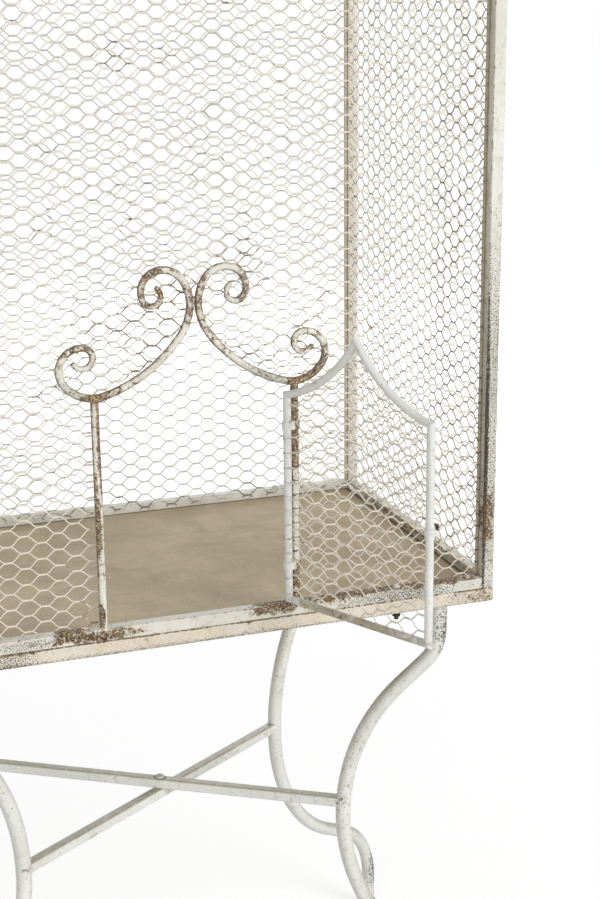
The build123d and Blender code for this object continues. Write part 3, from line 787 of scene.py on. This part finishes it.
def path_mesh(name: str, paths: list[list[Vector]], closed: bool = False) -> Mesh:
    """Make chains of edges.

    Args:
        name: Name of the mesh.
        paths: The points of each chain.
        closed: Whether each chain goes back to its first point.

    Returns:
        The mesh.
    """
    points: list[Vector] = []
    edges: list[tuple[int, int]] = []
    for chain in paths:
        first = len(points)
        points += chain
        edges += [(i, i + 1) for i in range(first, len(points) - 1)]
        if closed:
            edges.append((len(points) - 1, first))
    made = bpy.data.meshes.new(name)
    made.from_pydata([tuple(p) for p in points], edges, [])
    return made


def add_piece(mesh: Mesh, body: str, stands_for: tuple[str, ...] = ()) -> None:
    """Put a finished mesh on a body of the frame.

    Args:
        mesh: The mesh, placed in the row frame.
        body: The body that it moves with.
        stands_for: The CAD nodes that it replaces.
    """
    piece = placed(mesh.name, mesh)
    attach(piece, body)
    if stands_for:
        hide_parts(*stands_for)
    LOG.info("piece %s on %s, %d faces", piece.name, body, len(mesh.polygons))


def middle_of(node: str) -> Vector:
    """Give the middle of a CAD node's box at rest."""
    low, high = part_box(node)
    return (low + high) / 2


@dataclass
class Panel:
    """A flat net: where its plane lies and the outline that it fills."""

    name: str
    body: str
    nodes: tuple[str, ...]
    origin: Vector
    along: Vector
    rise: Vector
    outline: list[Point2]
    coat: Material
    wire: float
    wobble: float = 0.0022

    def placement(self, centre: Point2) -> Matrix:
        """Give the matrix that carries the flat net from the middle of its outline to its place."""
        turned = Matrix((self.along, self.rise, self.along.cross(self.rise))).transposed().to_4x4()
        return Matrix.Translation(self.origin + self.along * centre[0] + self.rise * centre[1]) @ turned


@dataclass
class Netting:
    """All the nets of the cage and its door, woven at the pitch of common hexagonal netting."""

    front_coat: Material
    side_coat: Material
    back_coat: Material
    row_pitch: float = 0.020
    column_pitch: float = 0.0205
    twist_length: float = 0.0110
    front_wire: float = 0.00084
    side_wire: float = 0.0008
    back_wire: float = 0.00082
    back_wobble: float = 0.0018
    door_wobble: float = 0.0012
    hook_clear: float = 0.0005
    tuck: float = 0.008
    scroll_rod: float = 0.0096
    scroll_gap: float = 0.0006
    scroll_sink: float = 0.0015
    scroll_bends: tuple[Point2, ...] = ((0.037, 15.0), (0.176, 38.0), (0.071, 27.0), (0.049, 10.0))
    bend_steps: int = 4
    door_bar: float = 0.010
    shoulder_drop: float = 0.39
    apex_drop: float = 0.94
    arch_radius: float = 0.186
    arch_steps: int = 8
    seed_step: float = 3.7
    spare_cells: int = 4
    shaper: NettingShaper = field(default_factory=NettingShaper)

    def scroll_line(self) -> list[Point2]:
        """Follow the right scroll from above the post to its tip beside the middle.

        Returns:
            Points in x and z, every few degrees along its bends.
        """
        heading = math.pi
        x = z = 0.0
        points = [(x, z)]
        for radius, turn in self.scroll_bends:
            bend = math.radians(turn) / self.bend_steps
            for _ in range(self.bend_steps):
                x += radius * (math.sin(heading) - math.sin(heading - bend))
                z += radius * (math.cos(heading - bend) - math.cos(heading))
                heading -= bend
                points.append((x, z))
        left = self.scroll_rod / 2 + self.scroll_gap / 2 - points[-1][0]
        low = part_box("door_post_right")[1].z + self.scroll_rod / 2 - self.scroll_sink
        return [(px + left, pz + low) for px, pz in points]

    def upright_panels(self) -> list[Panel]:
        """Lay out the nets of the four walls.

        Returns:
            The panels.
        """
        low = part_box("base_rail_front")[1].z - self.tuck
        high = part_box("top_rail_front")[0].z + self.tuck
        post_low, post_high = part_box("corner_post_front_right")
        side = post_low.x + self.tuck
        front = post_high.y - self.tuck
        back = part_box("corner_post_back_right")[0].y + self.tuck
        post = middle_of("door_post_right").x
        arch = self.scroll_line()
        doorway = [(post, low)] + arch + [(0.0, arch[-1][1])]
        mirrored = [(-x, z) for x, z in doorway[:-1]]
        ring = [(-side, low)] + mirrored + doorway[::-1] + [(side, low), (side, high), (-side, high)]
        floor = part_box("floor_board")[1].z + self.back_wire
        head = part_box("top_rail_back")[1].z - self.tuck / 2
        wall = [(-side, floor), (side, floor), (side, head), (-side, head)]
        end = [(front, low), (back, low), (back, high), (front, high)]
        front_nodes = ("front_net_left", "front_net_right", "front_net_over_left", "front_net_over_right")
        front_y = middle_of("front_net_left").y + self.hook_clear
        back_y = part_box("base_rail_back")[0].y - self.back_wire
        panels = [
            Panel("netting_front", "cage", front_nodes, Y_AXIS * front_y, X_AXIS, Z_AXIS, ring,
                  self.front_coat, self.front_wire),
            Panel("netting_back", "cage", ("back_net",), Y_AXIS * back_y, X_AXIS, Z_AXIS, wall,
                  self.back_coat, self.back_wire, self.back_wobble),
        ]
        for hand in ("left", "right"):
            plane = X_AXIS * middle_of(f"{hand}_net").x
            panels.append(Panel(f"netting_{hand}", "cage", (f"{hand}_net",), plane, Y_AXIS, Z_AXIS, end,
                                self.side_coat, self.side_wire))
        return panels

    def roof_panels(self) -> list[Panel]:
        """Lay out the four nets of the hipped roof.

        Returns:
            The panels.
        """
        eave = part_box("corner_post_front_right")[1].z
        middle = middle_of("ridge_rod")
        corner = middle_of("corner_post_front_right")
        depth = middle.y - corner.y
        slope = Vector((0.0, depth, middle.z - eave))
        length = slope.length
        ridge_half = corner.x - depth
        long_side = [(-corner.x, 0.0), (corner.x, 0.0), (ridge_half, length), (-ridge_half, length)]
        short_side = [(-depth, 0.0), (depth, 0.0), (0.0, length)]
        panels = []
        for name, quarter, outline in (("front", 0, long_side), ("right", 1, short_side),
                                       ("back", 2, long_side), ("left", 3, short_side)):
            turn = Matrix.Rotation(quarter * math.pi / 2, 3, "Z")
            reach = depth if quarter % 2 == 0 else corner.x
            origin = Vector((0.0, middle.y, eave)) + turn @ Vector((0.0, -reach, 0.0))
            panels.append(Panel(f"netting_roof_{name}", "cage", (f"roof_net_{name}",), origin, turn @ X_AXIS,
                                turn @ slope.normalized(), outline, self.back_coat, self.side_wire))
        return panels

    def door_panel(self) -> Panel:
        """Lay out the door's net between the middles of its bars.

        Returns:
            The panel.
        """
        hinge = middle_of("door_hinge_bar")
        free = middle_of("door_free_bar")
        low = middle_of("door_bottom_bar").z
        along = free - hinge
        width = along.length
        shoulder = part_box("door_hinge_bar")[1].z - low - self.door_bar * self.shoulder_drop
        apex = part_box("door_arch_hinge_side")[1].z - low - self.door_bar * self.apex_drop
        chord = math.hypot(width / 2, apex - shoulder)
        lean = math.atan2(apex - shoulder, width / 2)
        away = math.sqrt(self.arch_radius ** 2 - chord ** 2 / 4)
        centre_u = width / 4 - away * math.sin(lean)
        centre_v = (shoulder + apex) / 2 + away * math.cos(lean)
        rim = []
        for i in range(self.arch_steps + 1):
            u = width / 2 * i / self.arch_steps
            rim.append((u, centre_v - math.sqrt(self.arch_radius ** 2 - (u - centre_u) ** 2)))
        other = [(width - u, v) for u, v in reversed(rim[:-1])]
        outline = [(0.0, 0.0)] + rim + other + [(width, 0.0)]
        origin = Vector((hinge.x, hinge.y, low))
        return Panel("netting_door", "door", ("door_net",), origin, along.normalized(), Z_AXIS, outline,
                     self.front_coat, self.front_wire, self.door_wobble)

    def build(self) -> None:
        """Weave every panel and put it in place of its plain net."""
        panels = self.upright_panels() + self.roof_panels() + [self.door_panel()]
        for number, panel in enumerate(panels):
            us, vs = zip(*panel.outline)
            centre = ((min(us) + max(us)) / 2, (min(vs) + max(vs)) / 2)
            flat = outline_mesh(panel.name, [(u - centre[0], v - centre[1]) for u, v in panel.outline])
            values = {
                "Row Pitch": self.row_pitch, "Column Pitch": self.column_pitch,
                "Twist Length": self.twist_length, "Wire Radius": panel.wire,
                "Wobble": panel.wobble, "Seed": self.seed_step * number,
                "Columns": int((max(us) - min(us)) / self.column_pitch) + self.spare_cells,
                "Rows": int((max(vs) - min(vs)) / self.row_pitch) + self.spare_cells,
                "Coat": panel.coat,
            }
            mesh = self.shaper.mesh(panel.name, flat, values)
            mesh.transform(panel.placement(centre))
            add_piece(mesh, panel.body, panel.nodes)


@dataclass
class Ties:
    """Tie wire on the door, the right door post and the front corners, and thin rods at the net edges."""

    door_coat: Material
    dark_coat: Material
    rod_coat: Material
    wire_radius: float = 0.0005
    bar_radius: float = 0.005
    rod_radius: float = 0.0021
    spacing: float = 0.0165
    turns: float = 1.2
    clear: float = 0.012
    first_seed: int = 2
    straps: tuple[str, ...] = ("hinge_strap_lower", "hinge_strap_upper")
    shaper: WrapShaper = field(default_factory=WrapShaper)

    def upright(self, node: str) -> list[list[Vector]]:
        """Follow an upright bar, leaving out the stretches that the hinge straps take.

        Args:
            node: The bar.

        Returns:
            The paths between the straps.
        """
        low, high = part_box(node)
        middle = (low + high) / 2
        taken = []
        for strap in self.straps:
            bottom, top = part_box(strap)
            taken.append((bottom.z - self.clear, top.z + self.clear))
        paths = []
        start = low.z + self.clear
        for first, last in sorted(taken) + [(high.z - self.clear, 0.0)]:
            if first - start > self.spacing:
                paths.append([Vector((middle.x, middle.y, start)), Vector((middle.x, middle.y, first))])
            start = last
        return paths

    def edge_rods(self) -> list[list[Vector]]:
        """Stand a thin rod at each upright edge of the four wall nets, against the corner posts.

        Returns:
            The path of each rod, those of the front posts first.
        """
        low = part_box("base_rail_front")[1].z
        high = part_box("top_rail_front")[0].z
        paths = []
        for depth, net, along in (("front", "front_net_left", 1.0), ("back", "back_net", -1.0)):
            for side, across in (("left", 1.0), ("right", -1.0)):
                post_low, post_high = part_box(f"corner_post_{depth}_{side}")
                x = (post_high if side == "left" else post_low).x + across * self.rod_radius
                y = (post_high if depth == "front" else post_low).y + along * self.rod_radius
                for spot in ((x, middle_of(net).y), (middle_of(f"{side}_net").x, y)):
                    paths.append([Vector((*spot, low)), Vector((*spot, high))])
        return paths

    def build(self) -> None:
        """Wind the ties of the cage and of the door, and stand the rods at the net edges."""
        post = self.upright("door_post_right")
        hinge_bar = self.upright("door_hinge_bar")
        rods = self.edge_rods()
        # A step longer than the rod ties it at its foot only.
        whole = 2.0 * (rods[0][1] - rods[0][0]).length
        groups = (("post_ties", "cage", post, self.bar_radius, self.spacing, False, self.dark_coat),
                  ("door_ties", "door", hinge_bar, self.bar_radius, self.spacing, False, self.door_coat),
                  ("net_edge_ties", "cage", rods[:4], self.rod_radius, self.spacing, False, self.dark_coat),
                  ("net_edge_rods", "cage", rods, self.rod_radius, whole, True, self.rod_coat))
        for seed, (name, body, paths, radius, step, with_rod, coat) in enumerate(groups):
            values = {"Spacing": step, "Bar Radius": radius, "Wire Radius": self.wire_radius,
                      "Turns": self.turns, "Seed": self.first_seed + seed, "With Rod": with_rod, "Coat": coat}
            mesh = self.shaper.mesh(name, path_mesh(name, paths), values)
            add_piece(mesh, body)


@dataclass
class Welds:
    """Weld beads where the legs meet the stand."""

    coat: Material
    spacing: float = 0.0026
    drop: float = 0.0021
    leg_radius: float = 0.0105
    leg_inset: float = 0.064
    leg_setback: float = 0.030
    lift: float = 0.0004
    seed: int = 5
    shaper: WeldShaper = field(default_factory=WeldShaper)

    def ring(self, centre: Vector, radius: float, steps: int = 20) -> list[Vector]:
        """Give a level circle of points."""
        turns = [2 * math.pi * i / steps for i in range(steps)]
        return [centre + Vector((radius * math.cos(t), radius * math.sin(t), 0.0)) for t in turns]

    def build(self) -> None:
        """Lay a bead round the top of each leg."""
        rings = []
        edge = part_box("stand_rail_front")[1].x
        for depth in ("front", "back"):
            rail_low, rail_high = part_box(f"stand_rail_{depth}")
            y = rail_low.y + self.leg_setback if depth == "front" else rail_high.y - self.leg_setback
            for side, sign in (("left", -1.0), ("right", 1.0)):
                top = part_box(f"leg_{depth}_{side}")[1].z
                spot = Vector((sign * (edge - self.leg_inset), y, top))
                rings.append(self.ring(spot, self.leg_radius + self.lift))
        values = {"Spacing": self.spacing, "Drop Radius": self.drop, "Seed": self.seed, "Coat": self.coat}
        mesh = self.shaper.mesh("weld_beads", path_mesh("weld_beads", rings, closed=True), values)
        add_piece(mesh, "cage")


@dataclass
class Finishes:
    """The materials of every piece, with marks placed from the stand's top level and the front's plane."""

    level: float
    front: float
    coats: dict[str, Material] = field(default_factory=dict)

    @classmethod
    def mixed(cls) -> "Finishes":
        """Mix every finish and keep its material.

        Returns:
            The set of materials.
        """
        made = cls(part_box("stand_rail_front")[1].z, middle_of("door_post_right").y)
        for finish in made.paints() + made.wires() + made.plain_stock():
            made.coats[finish.name] = finish.material()
        return made

    def on_front(self, kind: Wear, marks: Marks) -> Spots:
        """Place marks of one kind in the plane of the front."""
        return tuple(WearSpot(kind, (x, self.front, self.level + up), (wide, MARK_REACH, tall), depth)
                     for x, up, wide, tall, depth in marks)

    def frame_spots(self) -> Spots:
        """Find the worn places of the cage's frame, and the places where shade is painted on it.

        Returns:
            The places on the front and those on the right front post and the right rail; the tan patches on
            the rail's top and on the post's inner face are painted shade.
        """
        front, level = self.front, self.level
        edge, face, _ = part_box("corner_post_front_right")[0]
        return (
            *self.on_front(Wear.RUST, FRAME_RUST),
            *self.on_front(Wear.SPECKLE, FRAME_SPECKS),
            WearSpot(Wear.SPECKLE, (edge + 0.001, face, level + 0.18), (0.0045, 0.0045, 0.36), 0.72),
            # Painted shade: tan along the top of the right rail inside the cage.
            WearSpot(Wear.GRIME_AND_SHADE, (0.392, front + 0.24, level + 0.01), (0.03, 0.30, 0.03), 0.6),
            WearSpot(Wear.RUST, (0.384, front + 0.24, level + 0.012), (0.010, 0.30, 0.008), 0.4),
            # Painted shade: tan on the inner face of the right front post.
            WearSpot(Wear.GRIME_AND_SHADE, (0.384, front + 0.006, level + 0.35), (0.006, 0.02, 0.6), 0.2),
        )

    def leg_spots(self) -> Spots:
        """Find the worn places of the legs and the stretchers.

        Returns:
            The places at the crossing, on two legs, under the stand and at the ends of the bars.
        """
        crossing = middle_of("stretcher_rivet")
        bar_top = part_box("stretcher_upper")[1].z
        leg_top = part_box("leg_front_right")[1].z
        neck = (0.346, self.front, leg_top - 0.04)
        spots = [
            WearSpot(Wear.RUST, (crossing.x, crossing.y, bar_top), (0.012, 0.012, 0.002), 1.3),
            WearSpot(Wear.SPECKLE, (0.460, 0.370, 0.09), (0.035, 0.035, 0.09), 0.9),
            WearSpot(Wear.SPECKLE, neck, (0.03, 0.06, 0.08), 0.6),
            WearSpot(Wear.RUST, neck, (0.03, 0.06, 0.09), 0.3),
            WearSpot(Wear.GRIME_AND_SHADE, (0.0, 0.0, leg_top - 0.12), (0.6, 0.6, 0.10), 0.2),
        ]
        for bar, falls in (("stretcher_upper", True), ("stretcher_lower", False)):
            low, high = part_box(bar)
            right_y, left_y = (low.y, high.y) if falls else (high.y, low.y)
            for x, y in ((high.x, right_y), (low.x, left_y)):
                spots.append(WearSpot(Wear.RUST, (x, y, high.z - 0.004), (0.014, 0.014, 0.012), 0.4))
                if x > 0.0 and y < 0.0:
                    spots.append(WearSpot(Wear.RUST, (x, y, high.z + 0.04), (0.12, 0.12, 0.24), 0.13))
        return tuple(spots)

    def paints(self) -> list[Finish]:
        """Give the paints with their worn places.

        Returns:
            The finishes of the painted pieces.
        """
        rust, speck, grime_and_shade = Wear.RUST, Wear.SPECKLE, Wear.GRIME_AND_SHADE
        white = ("#e0e0db", "#d3d4cd")
        scroll_spots = self.on_front(rust, SCROLL_RUST) + self.on_front(speck, SCROLL_SPECKS)
        stand_spots = self.on_front(rust, STAND_RUST) + self.on_front(speck, STAND_SPECKS)
        bolt_spots = (WearSpot(rust, (0.0, 0.0, self.level - 0.03), (2.0, 2.0, 0.045), 1.6),)
        sill = tuple(middle_of("door_bottom_bar"))
        door_spots = (WearSpot(grime_and_shade, sill, (0.16, 0.16, 0.012), 0.8),
                      WearSpot(rust, sill, (0.09, 0.12, 0.012), 0.3))
        free_bar = middle_of("door_free_bar")
        hook = middle_of("latch_hook")
        hook_tip = hook + (hook - Vector((free_bar.x, free_bar.y, hook.z)))
        latch_spots = (WearSpot(rust, tuple(hook_tip), (0.022, 0.022, 0.03), 1.8),)
        return [
            ChippedPaint("frame_paint", "#dad8cf", "#ccc8bc", rust="#74552f", deep="#42301f", bloom="#9c7849",
                         edges=0.30, chips=0.12, specks=0.14, spots=self.frame_spots()),
            # The scrolls' flank rust also paints shade at the rods' sides.
            ChippedPaint("scroll_paint", "#dedbd1", "#cfccc0", rust="#7f5f36", deep="#402d1b",
                         bloom="#aa8451", chips=0.28, specks=0.30, flank_rust_and_shade=0.46, grain=1.3, halo=0.4,
                         spots=scroll_spots),
            ChippedPaint("strap_paint", *white, rust="#86683f", deep="#4a3826",
                         spots=self.on_front(rust, STRAP_RUST)),
            ChippedPaint("door_paint", *white, stains=0.04, chips=0.02, specks=0.06, rough=0.42,
                         spots=door_spots),
            ChippedPaint("stand_paint", "#d8cfbf", "#cec4b1", stains=0.04, edges=0.22, chips=0.14,
                         specks=0.36, spots=stand_spots),
            # The legs' dust also paints shade on their upper faces.
            ChippedPaint("leg_paint", "#e1e2db", "#d7d7ce", stains=0.03, chips=0.10, specks=0.26, grain=1.5,
                         pit_scale=400.0, dust_and_top_shade=0.75, rough=0.42, spots=self.leg_spots()),
            ChippedPaint("bolt_paint", "#d6d4cb", "#c6c2b4", rust="#2b2622", deep="#161310", chips=0.1,
                         spots=bolt_spots),
            ChippedPaint("latch_paint", *white, spots=latch_spots),
        ]

    def wires(self) -> list[Finish]:
        """Give the coats of the nets, the ties and the rods at the net edges.

        Returns:
            The finishes of the wires.
        """
        rust, front, level = Wear.RUST, self.front, self.level
        side_spots = (WearSpot(rust, (0.392, front, level + 0.4), (0.1, 0.28, 0.7), 0.4),)
        sill_back = (0.0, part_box("base_rail_back")[0].y, level)
        back_spots = (WearSpot(rust, sill_back, (2.0, 0.1, 0.04), 0.35),)
        rod_spots = (WearSpot(rust, (0.0, front, level + 0.4), (2.0, 0.1, 2.0), 1.5),)
        net_spots, tie_spots = self.on_front(rust, NET_RUST), self.on_front(rust, TIE_RUST)
        return [
            WireCoat("front_wire", "#e6dfd0", "#cfc5b2", "#86745b", 0.08, net_spots),
            WireCoat("side_wire", "#cfc8b8", "#b8af9c", "#8f846d", 0.20, side_spots),
            WireCoat("back_wire", "#d8d5cb", "#bab4a5", "#857a66", 0.20, back_spots),
            WireCoat("tie_wire", "#bdbbb1", "#b3a88f", "#8a7d69", 0.2),
            WireCoat("dark_wire", "#94876f", "#7d705a", "#3c3228", 0.1, tie_spots),
            WireCoat("rod_wire", "#cfc5b1", "#c0b49d", "#a89e86", 0.05, rod_spots),
        ]

    def plain_stock(self) -> list[Finish]:
        """Give the plywood, the bare steel and the plastic.

        Returns:
            The finishes.
        """
        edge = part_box("corner_post_front_right")[0].x
        low = (-edge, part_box("base_rail_front")[1].y)
        high = (edge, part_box("base_rail_back")[0].y)
        return [
            FloorPly("floor_ply", "#d0bfa3", "#b4a386", low, high),
            PlainStock("dark_steel", "#1e1b18", "#3a332c", 0.6, 0.55),
            PlainStock("glide_plastic", "#1c1c1b", "#262624", 0.0, 0.6),
        ]

    def dress_frame(self) -> None:
        """Give every CAD node that stays in sight its finish."""
        for name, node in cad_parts.items():
            fitting = (coat for start, coat in COATS_BY_NAME.items() if name.startswith(start))
            node.data.materials.clear()
            node.data.materials.append(self.coats[next(fitting, "frame_paint")])


@dataclass
class Studio:
    """Camera, lamps and the pale surroundings, with lengths in metres and angles in degrees."""

    focal_px: float = 1600.1
    sensor_mm: float = 36.0
    sight: float = 50.0
    stand_off: Point3 = (-0.5190, -1.8039, 0.7423)
    yaw: float = 19.84
    pitch: float = 15.38
    roll: float = 0.48
    sky: float = 0.42
    white: float = 1.0
    floor_reach: float = 12.0
    aim: Point3 = (0.0, 0.0, 1.0)
    lamps: tuple[tuple[str, Point3, float, float], ...] = (
        ("front_lamp", (4.2, -5.8, 3.2), 3.4, 322.0),
        ("side_lamp", (-3.2, -5.8, 1.6), 2.4, 134.0),
        ("back_lamp", (2.5, 6.5, 2.8), 3.0, 120.0),
    )

    def camera(self) -> None:
        """Set the camera at the photograph's viewpoint, which stands off from the doorway's sill."""
        yaw, pitch, roll = (math.radians(a) for a in (self.yaw, self.pitch, self.roll))
        facing = (Matrix.Rotation(-yaw, 4, "Z") @ Matrix.Rotation(math.pi / 2 - pitch, 4, "X")
                  @ Matrix.Rotation(-roll, 4, "Z"))
        data = bpy.data.cameras.new("photo_camera")
        data.sensor_width = self.sensor_mm
        data.lens = self.focal_px / PHOTO_HEIGHT * self.sensor_mm
        data.clip_end = self.sight
        made = placed("photo_camera", data)
        threshold = Vector((0.0, middle_of("door_post_right").y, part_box("stand_rail_front")[1].z))
        made.matrix_world = Matrix.Translation(threshold + Vector(self.stand_off)) @ facing
        bpy.context.scene.camera = made

    def lamp(self, name: str, spot: Vector, size: float, power: float) -> None:
        """Add a soft square lamp that points at the object.

        Args:
            name: Name of the lamp.
            spot: Where it hangs.
            size: Its side.
            power: Its power in watts.
        """
        data = bpy.data.lights.new(name, "AREA")
        data.size = size
        data.energy = power
        facing = (Vector(self.aim) - spot).to_track_quat("-Z", "Y").to_matrix()
        placed(name, data).matrix_world = Matrix.Translation(spot) @ facing.to_4x4()

    def surroundings(self) -> None:
        """Make the white world and the pale floor."""
        world = bpy.data.worlds.new("studio")
        world.use_nodes = True
        g = Graph(world.node_tree)
        sky = world.node_tree.nodes["Background"]
        sky.inputs["Color"].default_value = WHITE
        strength = g.math("MULTIPLY_ADD", g.seen_white(), self.white - self.sky, self.sky)
        g.feed(sky.inputs["Strength"], strength)
        bpy.context.scene.world = world
        reach = self.floor_reach
        corners = [(-reach, -reach), (reach, -reach), (reach, reach), (-reach, reach)]
        sheet = outline_mesh("studio_floor", corners)
        sheet.materials.append(PaleFloor("studio_floor").material())
        floor = placed("studio_floor", sheet)

    def build(self) -> None:
        """Set up the camera, the surroundings and the lamps."""
        self.camera()
        self.surroundings()
        for name, spot, size, power in self.lamps:
            self.lamp(name, Vector(spot), size, power)
        bpy.context.scene.view_settings.view_transform = "Standard"


def main() -> None:
    """Build the studio, dress the frame and add the netting, ties and welds."""
    logging.basicConfig(level=logging.INFO, format="%(name)s: %(message)s")
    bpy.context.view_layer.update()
    Studio().build()
    finishes = Finishes.mixed()
    finishes.dress_frame()
    coats = finishes.coats
    Netting(coats["front_wire"], coats["side_wire"], coats["back_wire"]).build()
    Ties(coats["tie_wire"], coats["dark_wire"], coats["rod_wire"]).build()
    Welds(coats["leg_paint"]).build()


if __name__ == "__main__":
    main()
